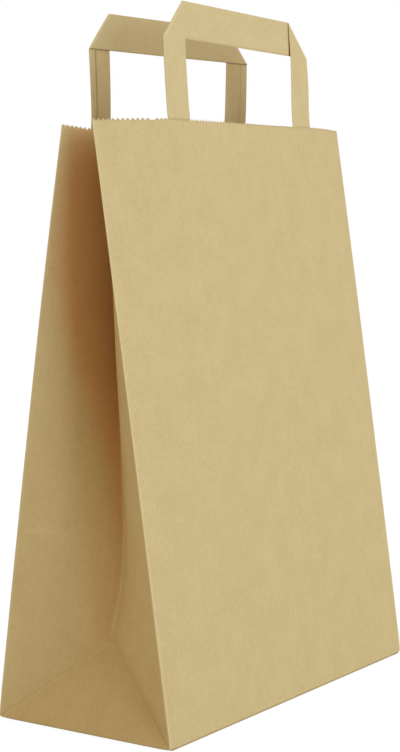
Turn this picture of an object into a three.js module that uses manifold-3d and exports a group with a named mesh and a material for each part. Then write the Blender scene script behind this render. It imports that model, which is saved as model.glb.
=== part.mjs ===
// Kraft paper carrier bag: one folded and glued sheet with a block bottom and side gussets,
// two flat tape handles folded at their corners, and a glued patch inside the mouth over each
// handle's ends. Millimetres, +Z up, front panel towards -Y, origin at the middle of the base.
import * as THREE from 'three';
import { mergeVertices } from 'three/addons/utils/BufferGeometryUtils.js';
import Module from 'manifold-3d';

// Sheet
const bagWidth = 220;
const bagDepth = 100;
const panelLength = 285; // up the paper, from the bottom fold to the cut edge
const paperThickness = 0.13;
const mouthGap = 18; // between the front and rear folds at the mouth's corners
const mouthShift = 1.5; // how far the mouth sits to the rear of the base's middle
const leanCurve = 0.05; // share of the panels' lean that comes as a curve
const frontBow = 11.5; // outward swell of the panel at the middle of the mouth
const rearBow = 18.4;
const frontTilt = 0.28; // share of that swell lost from the middle to the right, and gained to the left
const rearTilt = 0.18;
const frontCrown = 0.24; // share of it lost from the middle to both sides
const rearCrown = 0.42;
const bowShoulder = 0.35; // share of half the width over which a panel rises from its side fold
const shoulderSharpness = 10;
const rearCutDrop = 2.2; // how much lower the cut edge lies at the rear folds
const rearCutDip = 2.5; // and how much lower still between the rear panel's shoulders
const gussetBow = 2; // outward swell of each gusset half
const gussetBowPower = 0.7; // under 1, it moves that swell's peak down the gusset
const creaseShift = 9; // how far the inner gusset fold wanders to the rear
const creaseShiftSpan = [0.16, 0.62]; // share of the fold's length over which it does so
const creaseReturnSpan = [0.62, 1]; // and over which it comes back
const toothPitch = 2.6;
const toothDepth = 1.1;
const toothBand = 8; // strip of paper under the cut edge
const seamWidth = 14; // glued lap up the rear panel
const seamStart = 1; // from the panel's middle, and up from the bottom fold
const flapLap = 10; // how far the outer bottom flap passes the middle of the base
const foldInset = 0.3; // from the bottom fold to where a flap lies flat

// Handles
const tapeWidth = 17.5;
const tapeThickness = 0.4;
const handleWidth = 135;
const handleRise = 54; // above the cut edge
const rearHandleDrop = 1.5; // how much lower the rear handle is glued
const tailLength = 50; // below the cut edge, between the panel and the patch
const foldGap = 0.2; // between the two layers of a folded corner
const foldBand = 0.6; // width of the bend that joins those layers
const bendLength = 8; // length over which a leg turns from the panel's slope to its own
const barFlattening = 0.1; // share of the panel's bow that is lost at the bar
const frontHandleSlope = -0.042; // outward run for each unit of rise
const rearHandleSlope = 0.004;
const frontHandleSkew = -1.6; // rise of the bar from its middle to its right end
const rearHandleSkew = -0.3;

// Patches
const patchMargin = 8; // beyond the handle's outer edges
const patchHeight = 45;
const patchDrop = 10; // below the cut edge
const patchRamp = 1.5; // run over which a patch climbs onto a tail
const patchClearance = 0.3;
const glueLine = 0.3;

// Mesh steps
const footRows = 4; // up each gusset's bottom triangle, and across half a gusset
const wallRows = 8;
const seamRows = 9;
const patchRows = 3;
const tapeRows = 2;
const barColumns = 8;
const layerOverlap = paperThickness / 3; // of glued layers that are one solid
const samePoint = 1e-4; // corners closer than this are one corner

// Derived sizes
const halfWidth = bagWidth / 2;
const halfDepth = bagDepth / 2;
const middleLean = (bagDepth - mouthGap) / 2;
const rearLength = panelLength - rearCutDrop;
const flapLayers = 2;
const baseLift = flapLayers * paperThickness;
const legOuter = handleWidth / 2;
const legInner = legOuter - tapeWidth;
const legMiddle = legOuter - tapeWidth / 2;
const patchHalf = legOuter + patchMargin;
const tapeInset = paperThickness + glueLine;
const barInset = tapeInset + tapeThickness + foldGap;
const perimeter = 2 * (bagWidth + bagDepth);

const wasm = await Module();
wasm.setup();

const FRONT = {
  side: -1,
  lean: middleLean + mouthShift,
  bow: frontBow,
  tilt: frontTilt,
  crown: frontCrown,
  cut: panelLength,
  handleTop: panelLength + handleRise,
  slope: frontHandleSlope,
  skew: frontHandleSkew,
};
const REAR = {
  side: 1,
  lean: middleLean - mouthShift,
  bow: rearBow,
  tilt: rearTilt,
  crown: rearCrown,
  cut: rearLength,
  handleTop: rearLength + handleRise - rearHandleDrop,
  slope: rearHandleSlope,
  skew: rearHandleSkew,
};

function spread(from, to, steps) {
  return Array.from({ length: steps + 1 }, (_, i) => from + ((to - from) * i) / steps);
}

function mirrored(values) {
  const left = values.filter((value) => value > 0).map((value) => -value).reverse();
  return [...left, ...values];
}

// Rises from 0 at each side fold of a panel to 1 at a shoulder beside the patch.
function shouldered(part) {
  const edge = Math.max(1 - Math.abs(part), 0);
  const blend = edge ** shoulderSharpness + bowShoulder ** shoulderSharpness;
  return edge / blend ** (1 / shoulderSharpness);
}

// Outward swell of a panel at the mouth: a shallow lopsided arch between its shoulders.
function bowAt(panel, across) {
  const part = across / halfWidth;
  const arch = 1 - panel.tilt * part - panel.crown * part ** 2;
  return panel.bow * arch * shouldered(part);
}

// Distance of a panel from the middle plane: it leans in and its middle swells out with height.
function reach(panel, across, up) {
  const rise = up / panelLength;
  const lean = panel.lean * ((1 - leanCurve) * rise + leanCurve * rise ** 2);
  return halfDepth - lean + bowAt(panel, across) * rise ** 2;
}

// Outward run of a panel for each unit of paper at its top.
function edgeSlope(panel, across) {
  return (2 * bowAt(panel, across) - panel.lean * (1 + leanCurve)) / panelLength;
}

// Height of a point on the paper: the paper's length less what its lean and swell take up.
function rest(panel, across, up) {
  const rise = up / panelLength;
  const start = -panel.lean * (1 - leanCurve);
  const change = 2 * (bowAt(panel, across) - panel.lean * leanCurve);
  const taken = start ** 2 * rise + start * change * rise ** 2 + (change ** 2 * rise ** 3) / 3;
  return baseLift + up - taken / (2 * panelLength);
}

// Place across the bag: the swell draws the sides in, so that the paper keeps its width.
function drawnIn(panel, across, up) {
  const swell = (panel.bow * (up / panelLength) ** 2) / halfWidth;
  return across * (1 - swell ** 2);
}

// A point of a panel, or of a layer that lies the given inset behind its outer face.
function panelPoint(panel, across, up, inset = 0) {
  const y = panel.side * (reach(panel, across, up) - inset);
  return new THREE.Vector3(drawnIn(panel, across, up), y, rest(panel, across, up));
}

// How far the inner fold drops below the side folds, set by the rigid triangle at the foot
// of the gusset, whose sides fold at 45 degrees.
function apexOf(hand) {
  const front = panelPoint(FRONT, hand * halfWidth, halfDepth);
  const rear = panelPoint(REAR, hand * halfWidth, halfDepth);
  const gap = (rear.y - front.y) / 2;
  const edge = (front.z + rear.z) / 2 - baseLift;
  const height = (gap ** 2 + edge ** 2) / (2 * edge);
  return { drop: edge - height, height, inward: Math.sqrt(halfDepth ** 2 - height ** 2) };
}

// The inner fold of a gusset above its bottom triangle: both halves keep their width.
function creasePoint(hand, up) {
  const front = panelPoint(FRONT, hand * halfWidth, up);
  const rear = panelPoint(REAR, hand * halfWidth, up);
  const gap = (rear.y - front.y) / 2;
  const { drop } = apexOf(hand);
  const inward = Math.sqrt(halfDepth ** 2 - gap ** 2 - drop ** 2);
  const point = front.clone().lerp(rear, 0.5);
  const climb = (up - halfDepth) / (panelLength - halfDepth);
  point.x -= hand * inward;
  const leaving = THREE.MathUtils.smoothstep(climb, ...creaseShiftSpan);
  const returning = THREE.MathUtils.smoothstep(climb, ...creaseReturnSpan);
  point.y += creaseShift * (leaving - returning);
  point.z -= drop;
  return point;
}

// A point of a gusset; `from` is the paper's distance from the front fold.
function gussetPoint(hand, from, up) {
  const nearRear = from > halfDepth;
  const panel = nearRear ? REAR : FRONT;
  const along = nearRear ? bagDepth - from : from;
  const edge = panelPoint(panel, hand * halfWidth, up);
  if (up < halfDepth) {
    const { height, inward } = apexOf(hand);
    const part = up / halfDepth;
    const x = hand * (halfWidth - inward * part);
    const z = baseLift + height * part;
    const onTriangle = new THREE.Vector3(x, from - halfDepth, z);
    if (along >= up) return onTriangle;
    const corner = new THREE.Vector3(x, panel.side * (halfDepth - up), z);
    return edge.lerp(corner, along / up);
  }
  const climb = (up - halfDepth) / (panelLength - halfDepth);
  const crease = creasePoint(hand, up);
  const chord = crease.clone().sub(edge);
  const outwards = new THREE.Vector3(-chord.y, chord.x, 0).normalize();
  const part = along / halfDepth;
  const swell = gussetBow * Math.sin(Math.PI * climb ** gussetBowPower) * Math.sin(Math.PI * part);
  return edge.lerp(crease, part).addScaledVector(outwards, panel.side * hand * swell);
}

// A point of the folded sheet; `round` runs from the front panel's left fold, round the bag.
function sheetPoint(round, up) {
  const s = ((round % perimeter) + perimeter) % perimeter;
  if (s <= bagWidth) return panelPoint(FRONT, s - halfWidth, up);
  if (s <= bagWidth + bagDepth) return gussetPoint(1, s - bagWidth, up);
  if (s <= 2 * bagWidth + bagDepth) return panelPoint(REAR, 1.5 * bagWidth + bagDepth - s, up);
  return gussetPoint(-1, perimeter - s, up);
}

// Ring of points moved into the bag by one paper thickness, mitred at every fold.
function insetRing(ring) {
  return ring.map((point, i) => {
    const before = ring[(i + ring.length - 1) % ring.length];
    const after = ring[(i + 1) % ring.length];
    const first = new THREE.Vector2(before.y - point.y, point.x - before.x).normalize();
    const second = new THREE.Vector2(point.y - after.y, after.x - point.x).normalize();
    const mitre = first.clone().add(second).multiplyScalar(paperThickness / (1 + first.dot(second)));
    return new THREE.Vector3(point.x + mitre.x, point.y + mitre.y, point.z);
  });
}

function panelStations() {
  const lap = seamWidth + 2 * seamStart;
  const near = [0, lap, (lap + legInner) / 2];
  const tails = [legInner, legMiddle, legOuter, legOuter + patchMargin / 2, patchHalf];
  return mirrored([...near, ...tails, (patchHalf + halfWidth) / 2, halfWidth]);
}

// Stations round the sheet: the panels' own and even steps over the gussets.
function coarseStations() {
  const panel = panelStations().map((across) => across + halfWidth).slice(0, -1);
  const gusset = spread(0, bagDepth, 2 * footRows).slice(0, -1);
  const half = [...panel, ...gusset.map((along) => bagWidth + along)];
  return [...half, ...half.map((station) => station + bagWidth + bagDepth)];
}

// Length of paper from the bottom fold to the cut edge, which slopes across the gussets and
// dips on the rear panel.
function cutLength(round) {
  const intoRight = THREE.MathUtils.clamp((round - bagWidth) / bagDepth, 0, 1);
  const intoLeft = THREE.MathUtils.clamp((perimeter - round) / bagDepth, 0, 1);
  const onRear = (1.5 * bagWidth + bagDepth - round) / halfWidth;
  const dip = rearCutDip * shouldered(onRear);
  return panelLength - rearCutDrop * Math.min(intoRight, intoLeft) - dip;
}

// Stations of the cut edge: a valley at every fold, and tips and valleys by turns between.
function toothStations() {
  const faces = [bagWidth, halfDepth, halfDepth, bagWidth, halfDepth, halfDepth];
  const stations = [];
  let start = 0;
  for (const face of faces) {
    const teeth = Math.round(face / toothPitch);
    const rounds = spread(start, start + face, 2 * teeth).slice(0, -1);
    rounds.forEach((round, i) => {
      stations.push({ round, up: cutLength(round) - (i % 2 ? 0 : toothDepth) });
    });
    start += face;
  }
  return stations;
}

// Triangles of a strip between two closed rows that have stations of their own.
function zipRows(lower, lowerRound, upper, upperRound) {
  const triangles = [];
  let i = 0;
  let j = 0;
  while (i < lower.length || j < upper.length) {
    const nextLower = i < lower.length ? (lowerRound[i + 1] ?? perimeter) : Infinity;
    const nextUpper = j < upper.length ? (upperRound[j + 1] ?? perimeter) : Infinity;
    const a = lower[i % lower.length];
    const b = upper[j % upper.length];
    if (nextLower <= nextUpper) {
      triangles.push(a, lower[(i + 1) % lower.length], b);
      i += 1;
    } else {
      triangles.push(a, upper[(j + 1) % upper.length], b);
      j += 1;
    }
  }
  return triangles;
}

// One face of the tube: rows of quads split along the gussets' bottom folds, then the cut edge.
function tubeFace(rings, edge, rounds, edgeRounds) {
  const count = rounds.length;
  const points = [...rings.flat(), ...edge];
  const triangles = [];
  for (let row = 0; row < rings.length - 1; row += 1) {
    for (let i = 0; i < count; i += 1) {
      const next = (i + 1) % count;
      const [a, b] = [row * count + i, row * count + next];
      const [c, d] = [b + count, a + count];
      const fromGusset = (rounds[i] % (bagWidth + bagDepth)) - bagWidth;
      const falling = fromGusset >= halfDepth;
      triangles.push(...(falling ? [a, b, d, b, c, d] : [a, b, c, a, c, d]));
    }
  }
  const last = (rings.length - 1) * count;
  const lower = rounds.map((_, i) => last + i);
  const upper = edge.map((_, i) => rings.length * count + i);
  triangles.push(...zipRows(lower, rounds, upper, edgeRounds));
  return { points, triangles, edgeStart: rings.length * count };
}

function geometryOf(points, triangles) {
  const geometry = new THREE.BufferGeometry();
  const flat = points.flatMap((point) => [point.x, point.y, point.z]);
  geometry.setAttribute('position', new THREE.Float32BufferAttribute(flat, 3));
  geometry.setIndex(triangles);
  return geometry;
}

function solidOf(geometry) {
  const bare = geometry.clone();
  bare.deleteAttribute('normal');
  bare.deleteAttribute('uv');
  const merged = mergeVertices(bare, samePoint);
  const vertProperties = new Float32Array(merged.attributes.position.array);
  const triVerts = new Uint32Array(merged.index.array);
  return new wasm.Manifold(new wasm.Mesh({ numProp: 3, vertProperties, triVerts }));
}

function joined(geometries) {
  const solid = geometries.map(solidOf).reduce((whole, piece) => whole.add(piece));
  const mesh = solid.getMesh();
  const geometry = new THREE.BufferGeometry();
  geometry.setAttribute('position', new THREE.BufferAttribute(mesh.vertProperties, 3));
  geometry.setIndex(new THREE.BufferAttribute(mesh.triVerts, 1));
  return geometry;
}

// The folded tube with its floor: outer face, inner face, the cut edge between them, and the base.
function tubeGeometry() {
  const rounds = coarseStations();
  const ups = [
    ...spread(0, halfDepth, footRows),
    ...spread(halfDepth, panelLength - toothBand, wallRows).slice(1),
  ];
  const teeth = toothStations();
  const edgeRounds = teeth.map((tooth) => tooth.round);
  const outerRings = ups.map((up) => rounds.map((round) => sheetPoint(round, up)));
  const outerEdge = teeth.map((tooth) => sheetPoint(tooth.round, tooth.up));
  const innerRings = outerRings.map(insetRing);
  innerRings[0].forEach((point) => (point.z += paperThickness));
  const outer = tubeFace(outerRings, outerEdge, rounds, edgeRounds);
  const inner = tubeFace(innerRings, insetRing(outerEdge), rounds, edgeRounds);
  const shift = outer.points.length;
  const triangles = [...outer.triangles];
  for (let i = 0; i < inner.triangles.length; i += 3) {
    const [a, b, c] = inner.triangles.slice(i, i + 3);
    triangles.push(a + shift, c + shift, b + shift);
  }
  for (let i = 0; i < teeth.length; i += 1) {
    const next = (i + 1) % teeth.length;
    const [a, b] = [outer.edgeStart + i, outer.edgeStart + next];
    triangles.push(a, b, b + shift, a, b + shift, a + shift);
  }
  const base = outerRings[0].map((point) => new THREE.Vector2(point.x, point.y));
  for (const [a, b, c] of THREE.ShapeUtils.triangulateShape(base, [])) {
    triangles.push(a, c, b, a + shift, b + shift, c + shift);
  }
  return geometryOf([...outer.points, ...inner.points], triangles);
}

// A bent sheet with a thickness: a block whose columns and rows are laid on a surface.
function thickSheet(columns, rows, place) {
  const block = new THREE.BoxGeometry(1, 1, 1, columns.length - 1, rows.length - 1, 1);
  const points = block.attributes.position;
  for (let i = 0; i < points.count; i += 1) {
    const column = Math.round((points.getX(i) + 0.5) * (columns.length - 1));
    const row = Math.round((points.getY(i) + 0.5) * (rows.length - 1));
    const point = place(columns[column], rows[row], points.getZ(i) > 0);
    points.setXYZ(i, point.x, point.y, point.z);
  }
  return block;
}

// Of a layer's two insets, the one for the block's face towards the front or the rear.
function insetAt(panel, towardsFront, near, far) {
  return towardsFront === panel.side < 0 ? near : far;
}

// The glued lap up the rear panel, one more layer of paper on its outside.
function seamGeometry() {
  const rows = spread(seamStart, rearLength - rearCutDip - 2 * toothDepth, seamRows);
  return thickSheet([seamStart, seamStart + seamWidth], rows, (across, up, towardsFront) =>
    panelPoint(REAR, across, up, insetAt(REAR, towardsFront, -paperThickness, layerOverlap)));
}

// A layer of the block bottom, cut along the 45 degree folds of its corners.
function flapGeometry(outline, layer) {
  const shape = new THREE.Shape(outline.map(([x, y]) => new THREE.Vector2(x, y)));
  const depth = paperThickness + layerOverlap;
  const flap = new THREE.ExtrudeGeometry(shape, { depth, bevelEnabled: false });
  return flap.translate(0, 0, layer * paperThickness);
}

function bottomFlaps() {
  const end = halfWidth - foldInset;
  const fold = halfDepth - foldInset;
  const tip = end - fold;
  const free = tip - flapLap;
  const frontFold = [[-end, -fold], [end, -fold]];
  const rearFold = [[end, fold], [-end, fold]];
  const outer = flapGeometry([...frontFold, [free, flapLap], [-free, flapLap]], 0);
  const inner = flapGeometry([...frontFold, [tip, 0], ...rearFold, [-tip, 0]], 1);
  return [outer, inner];
}

// A point of a handle: on the panel below the cut edge, and above it turning to its own slope
// while the panel's bow flattens out.
function handlePoint(panel, across, up, inset) {
  const over = up - panelLength;
  if (over <= 0) return panelPoint(panel, across, up, inset);
  const share = over / handleRise;
  const legReach = reach(panel, legMiddle, panelLength);
  const bow = (reach(panel, across, panelLength) - legReach) * (1 - barFlattening * share);
  const turning = edgeSlope(panel, legMiddle) - panel.slope;
  const bend = turning * bendLength * (1 - Math.exp(-over / bendLength));
  const out = legReach + bow + panel.slope * over + bend;
  const legRest = rest(panel, legMiddle, panelLength);
  const dip = (rest(panel, across, panelLength) - legRest) * (1 - share);
  const z = legRest + dip + over + (panel.skew * share * across) / legMiddle;
  return new THREE.Vector3(drawnIn(panel, across, panelLength), panel.side * (out - inset), z);
}

// A leg from its glued tail to the 45 degree fold at its top.
function legGeometry(panel, hand) {
  const columns = hand > 0 ? [legInner, legMiddle, legOuter] : [-legOuter, -legMiddle, -legInner];
  const top = panel.handleTop;
  const under = spread(panel.cut - tailLength, panelLength, tapeRows);
  const above = [bendLength / 2, bendLength, 2 * bendLength].map((over) => panelLength + over);
  return thickSheet(columns, [...under, ...above, top], (across, row, towardsFront) => {
    const up = row === top ? top - (Math.abs(across) - legInner) : row;
    const inset = insetAt(panel, towardsFront, tapeInset, tapeInset + tapeThickness);
    return handlePoint(panel, across, up, inset);
  });
}

// The bar between the two folds, behind the legs.
function barGeometry(panel) {
  const top = panel.handleTop;
  const rows = spread(top - tapeWidth, top, tapeRows);
  return thickSheet(spread(-1, 1, barColumns), rows, (part, up, towardsFront) => {
    const across = part * (legInner + top - up);
    const inset = insetAt(panel, towardsFront, barInset, barInset + tapeThickness);
    return handlePoint(panel, across, up, inset);
  });
}

// The bend along a corner's 45 degree fold, from the leg's layer through to the bar's.
function bendGeometry(panel, hand) {
  const columns = hand > 0 ? [legInner, legOuter] : [-legOuter, -legInner];
  return thickSheet(columns, [-foldBand, 0], (across, fromFold, towardsFront) => {
    const up = panel.handleTop - (Math.abs(across) - legInner) + fromFold;
    const inset = insetAt(panel, towardsFront, tapeInset, barInset + tapeThickness);
    return handlePoint(panel, across, up, inset);
  });
}

function handleGeometry(panel) {
  const hands = [-1, 1];
  const legs = hands.map((hand) => legGeometry(panel, hand));
  const bends = hands.map((hand) => bendGeometry(panel, hand));
  return joined([barGeometry(panel), ...bends, ...legs]);
}

// The patch over a handle's tails: flat on the panel, and one step further in over each tail.
function patchGeometry(panel) {
  const inner = legInner - patchClearance;
  const outer = legOuter + patchClearance;
  const between = panelStations().filter((across) => across >= 0 && across < legInner);
  const overTails = [inner - patchRamp, inner, legMiddle, outer, outer + patchRamp];
  const columns = mirrored([...between, ...overTails, patchHalf]);
  const top = panel.cut - patchDrop;
  const rows = spread(top - patchHeight, top, patchRows);
  return thickSheet(columns, rows, (across, up, towardsFront) => {
    const overTail = Math.abs(across) >= inner && Math.abs(across) <= outer;
    const near = tapeInset + (overTail ? tapeThickness + glueLine : 0);
    const inset = insetAt(panel, towardsFront, near, near + paperThickness);
    return panelPoint(panel, across, up, inset);
  });
}

function piece(name, geometry, color) {
  const material = new THREE.MeshStandardMaterial({ color, roughness: 0.85, metalness: 0 });
  geometry.computeVertexNormals();
  const mesh = new THREE.Mesh(geometry, material);
  mesh.name = name;
  return mesh;
}

const bag = new THREE.Group();
bag.add(piece('bag_body', joined([tubeGeometry(), seamGeometry(), ...bottomFlaps()]), 0xcbba8d));
bag.add(piece('front_handle', handleGeometry(FRONT), 0xcdbc91));
bag.add(piece('rear_handle', handleGeometry(REAR), 0xcdbc91));
bag.add(piece('front_handle_patch', patchGeometry(FRONT), 0xc4b184));
bag.add(piece('rear_handle_patch', patchGeometry(REAR), 0xc4b184));

export default bag;
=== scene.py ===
import math
from types import SimpleNamespace

import bpy
import numpy as np
from bpy.props import FloatProperty, FloatVectorProperty, PointerProperty
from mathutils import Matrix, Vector


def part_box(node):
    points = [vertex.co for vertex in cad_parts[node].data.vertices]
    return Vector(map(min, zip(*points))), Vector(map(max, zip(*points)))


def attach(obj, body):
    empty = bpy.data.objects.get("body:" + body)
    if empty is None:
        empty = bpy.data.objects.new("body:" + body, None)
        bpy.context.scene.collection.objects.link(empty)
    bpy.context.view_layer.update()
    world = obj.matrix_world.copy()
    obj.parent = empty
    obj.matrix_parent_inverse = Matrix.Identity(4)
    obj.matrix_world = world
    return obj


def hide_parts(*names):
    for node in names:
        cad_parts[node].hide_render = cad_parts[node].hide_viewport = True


bl_info = {
    "name": "Kraft Carrier Bag",
    "version": (1, 0, 0),
    "blender": (4, 5, 0),
    "location": "View3D > Sidebar > Carrier Bag",
    "description": "A folded kraft paper carrier bag with flat tape handles",
    "category": "Add Mesh",
}

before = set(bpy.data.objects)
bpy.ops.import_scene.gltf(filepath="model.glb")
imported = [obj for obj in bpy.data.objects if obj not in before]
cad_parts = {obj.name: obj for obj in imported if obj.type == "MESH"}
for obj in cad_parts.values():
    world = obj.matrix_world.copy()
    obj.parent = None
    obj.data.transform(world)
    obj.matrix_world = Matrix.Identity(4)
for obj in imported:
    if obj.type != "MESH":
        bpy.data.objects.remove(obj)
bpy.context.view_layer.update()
BODY_LOW, BODY_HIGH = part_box("bag_body")
PAPER_MAP = "paper"
# marks on the paper: fold carries pale folds, wear and painted highlight; shade carries painted shade;
# the groove mark carries painted warm shade
FOLD_MARK = "fold"
SHADE_MARK = "shade"
SLANT_MARK = "slant"
GROOVE_SHADE_MARK = "tuck"
MARKS = {FOLD_MARK: 0.0, SHADE_MARK: 0.0, SLANT_MARK: 1.0, GROOVE_SHADE_MARK: 0.0}
# waves of the paper: share of their height, lengths across and up, start, and shift from the panel
WAVES = (
    (0.5, 0.131, 0.33, 0.8, 1.0),
    (0.3, 0.073, -0.21, 0.0, 2.1),
    (0.2, 0.052, 0.112, 4.0, 0.0),
)
# noise of the paper: grains in a metre across and along, turn and detail
GRAINS = {
    "clouds": ((75.0, 60.0), 0.0, 3.0),
    "flocks": ((420.0, 380.0), 0.4, 3.0),
    "streaks": ((620.0, 24.0), 0.0, 2.0),
    "crossing": ((95.0, 520.0), 0.0, 2.0),
    "rising": ((2300.0, 430.0), 0.5, 2.0),
    "falling": ((2300.0, 430.0), -0.7, 2.0),
    "fine": ((3600.0, 3000.0), 0.2, 1.0),
}
# noise, the colour it brings, where that starts and is full, and how strong it is
LAYERS = (
    ("clouds", "pale", 0.5, 0.78, 0.18),
    ("clouds", "brown", 0.5, 0.24, 0.14),
    ("flocks", "pale", 0.5, 0.75, 0.16),
    ("flocks", "brown", 0.5, 0.25, 0.12),
    ("streaks", "brown", 0.52, 0.75, 0.05),
    ("streaks", "pale", 0.48, 0.25, 0.05),
    ("crossing", "pale", 0.55, 0.78, 0.12),
    ("rising", "brown", 0.6, 0.74, 0.32),
    ("falling", "pale", 0.6, 0.74, 0.32),
)
# noise, and its share of the surface's relief
RELIEF = (("clouds", 0.5), ("rising", 0.22), ("falling", 0.22), ("fine", 0.16), ("streaks", 0.18))
# how each paper differs from the look's own colours
TINTS = {
    "kraft_sheet": (1.0, 1.0, 1.0),
    "handle_tape": (1.02, 1.03, 1.06),
    "patch_paper": (0.95, 0.94, 0.92),
}
FLOOR_HALF = 4.0
FLOOR_DROP = 0.0002
FLOOR_WHITE = (0.97, 0.985, 1.0, 1.0)
FLOOR_STRENGTH = 1.11
LAMP_SIZE = 1.5
LAMP_TARGET = (0.0, 0.0, 0.17)
TINY = 1e-9


def metres(label, text, size):
    """A size in metres that a user may change."""
    return FloatProperty(name=label, description=text, default=size, unit="LENGTH", precision=5)


def share(label, text, value, low=0.0, high=1.0):
    """A plain number that a user may change."""
    return FloatProperty(
        name=label, description=text, default=value, min=low, max=high, subtype="FACTOR"
    )


def colour(label, text, rgb):
    """A colour, in linear light, that a user may change."""
    return FloatVectorProperty(
        name=label, description=text, default=rgb, size=3, min=0.0, max=1.0, subtype="COLOR"
    )


def place(label, text, xyz):
    """A place in metres that a user may change."""
    return FloatVectorProperty(
        name=label, description=text, default=xyz, size=3, subtype="TRANSLATION"
    )


def power(label, text, watts):
    """The power of a lamp, which a user may change."""
    return FloatProperty(name=label, description=text, default=watts, unit="POWER")


class SheetSizes(bpy.types.PropertyGroup):
    """Sizes of the folded sheet."""

    width: metres("Width", "Across the front panel", BODY_HIGH.x - BODY_LOW.x)
    depth: metres("Depth", "From the front to the rear bottom fold", BODY_HIGH.y - BODY_LOW.y)
    length: metres("Panel length", "Up the paper, from the bottom fold to the cut edge", 0.285)
    thickness: metres("Paper", "Thickness of the kraft paper", 0.00013)
    mouth_gap: metres("Mouth gap", "Between the front and rear folds at the mouth", 0.018)
    mouth_shift: metres("Mouth shift", "How far the mouth sits to the rear", 0.0015)
    lean_curve: share("Lean curve", "Share of the panels' lean that comes as a curve", 0.05)
    front_bow: metres("Front bow", "Outward swell of the front panel at the mouth", 0.0109)
    rear_bow: metres("Rear bow", "Outward swell of the rear panel at the mouth", 0.018)
    front_tilt: share("Front tilt", "Share of the swell lost to the right, gained to the left", 0.57)
    rear_tilt: share("Rear tilt", "Share of the swell lost to the right, gained to the left", 0.086)
    front_crown: share("Front crown", "Share of the swell lost to both sides", 0.0)
    rear_crown: share("Rear crown", "Share of the swell lost to both sides", 0.42)
    front_sway: share("Front sway", "Share of the swell that comes back close to the right fold", 0.68)
    front_draw: share("Front draw-in", "Share of the front width lost at the mouth", 0.001)
    rear_draw: share("Rear draw-in", "Share of the rear width lost at the mouth", 0.0196)
    shoulder: share("Shoulder", "Share of half the width over which a panel rises", 0.35)
    front_cut_rise: metres("Front cut rise", "How much higher the cut edge is at the front folds", 0.0005)
    rear_cut_drop: metres("Rear cut drop", "How much lower the cut edge is at the rear folds", 0.0022)
    rear_cut_dip: metres("Rear cut dip", "How much lower still between the rear shoulders", 0.0025)
    foot_height: metres("Foot height", "Of a gusset's bottom triangle, up the paper", 0.046)
    gusset_bow: metres("Gusset bow", "Outward swell of each gusset half", 0.002)
    gusset_bow_power: share("Gusset bow power", "Under 1, the swell's peak moves down", 0.7)
    crease_shift: metres("Crease shift", "How far the inner fold wanders to the rear", 0.009)
    crease_bend: metres("Crease bend", "How far the inner fold's foot bends to the front", 0.0024)
    tooth_pitch: metres("Tooth pitch", "Along the cut edge", 0.0026)
    tooth_depth: metres("Tooth depth", "Of the cut edge's teeth", 0.0011)
    tooth_band: metres("Tooth band", "Strip of paper under the cut edge", 0.008)
    seam_width: metres("Seam width", "Of the glued lap up the rear panel", 0.014)
    seam_start: metres("Seam start", "From the rear panel's middle", 0.001)
    flap_lap: metres("Flap lap", "How far the outer bottom flap passes the middle", 0.01)
    side_softness: metres("Side fold softness", "Half width of the bend at the side folds", 0.0008)
    crease_softness: metres("Crease softness", "Half width of the bend at gusset creases", 0.0015)
    ripple: metres("Ripple", "Height of the paper's gentle unevenness", 0.00025)
    pack_crease: metres("Pack crease", "Height of the crease left by flat packing", 0.093)


class TapeSizes(bpy.types.PropertyGroup):
    """Sizes of the two flat handles."""

    width: metres("Tape width", "Of the folded paper tape", 0.0175)
    thickness: metres("Tape thickness", "Of its layers together", 0.0004)
    ply: metres("Lap ply", "Step of the lapped edge on the tape's inner face", 0.0001)
    lap_share: share("Lap place", "Place of the lapped edge across the tape", 0.29)
    span: metres("Handle width", "Over both legs", 0.135)
    rise: metres("Handle rise", "Above the cut edge", 0.054)
    rear_drop: metres("Rear drop", "How much lower the rear handle is glued", 0.0015)
    tail: metres("Tail", "Below the cut edge, under the patch", 0.05)
    fold_gap: metres("Fold gap", "Between the layers of a folded corner", 0.0002)
    bend: metres("Bend", "Over which a leg turns from the panel's slope", 0.008)
    flattening: share("Bar flattening", "Share of the panel's bow lost at the bar", 0.5)
    front_slope: share("Front slope", "Outward run for each unit of rise", -0.032, -1.0)
    rear_slope: share("Rear slope", "Outward run for each unit of rise", 0.018, -1.0)
    front_skew: metres("Front skew", "Rise of the front bar towards its right end", -0.0016)
    rear_skew: metres("Rear skew", "Rise of the rear bar towards its right end", -0.0003)
    front_turn: metres("Front turn", "Of the front bar's right end outwards", -0.0006)
    rear_turn: metres("Rear turn", "Of the rear bar's right end outwards", -0.0012)
    opening: share("Open corner", "Slope of the front handle's right leg off its bar", 0.055)


class PatchSizes(bpy.types.PropertyGroup):
    """Sizes of the patches glued over the handles' tails."""

    margin: metres("Margin", "Beyond the handle's outer edges", 0.008)
    height: metres("Height", "Up the panel", 0.045)
    drop: metres("Drop", "Below the cut edge", 0.01)
    ramp: metres("Ramp", "Over which a patch climbs onto a tail", 0.0015)
    glue: metres("Glue line", "Between the layers that are glued", 0.0003)


class PaperLook(bpy.types.PropertyGroup):
    """Colours and finish of the kraft paper."""

    kraft: colour("Kraft", "Middle colour of the paper", (0.62, 0.465, 0.225))
    # pale also paints highlights on folds, edges and slant creases, beside their wear
    pale: colour("Pale kraft", "Of the paper's lighter clouds and worn folds", (0.72, 0.565, 0.305))
    brown: colour("Brown kraft", "Of the paper's darker clouds and fibres", (0.475, 0.32, 0.135))
    # colour of painted shade: beside laps, along the bottom fold and a bar's low edge, and beside the
    # front slants
    painted_shade_colour: colour("Painted shade", "Of the line beside a lapped edge", (0.16, 0.1, 0.03))
    # painted warm shade, multiplied into the paper deep in a gusset's groove
    groove_shade_colour: colour("Groove shade colour", "Tint of the paper deep in a gusset's groove", (1.0, 0.76, 0.64))
    roughness: share("Roughness", "Of the uncoated paper", 0.82)
    shine: share("Shine", "Specular level of the uncoated paper", 0.25)


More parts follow.
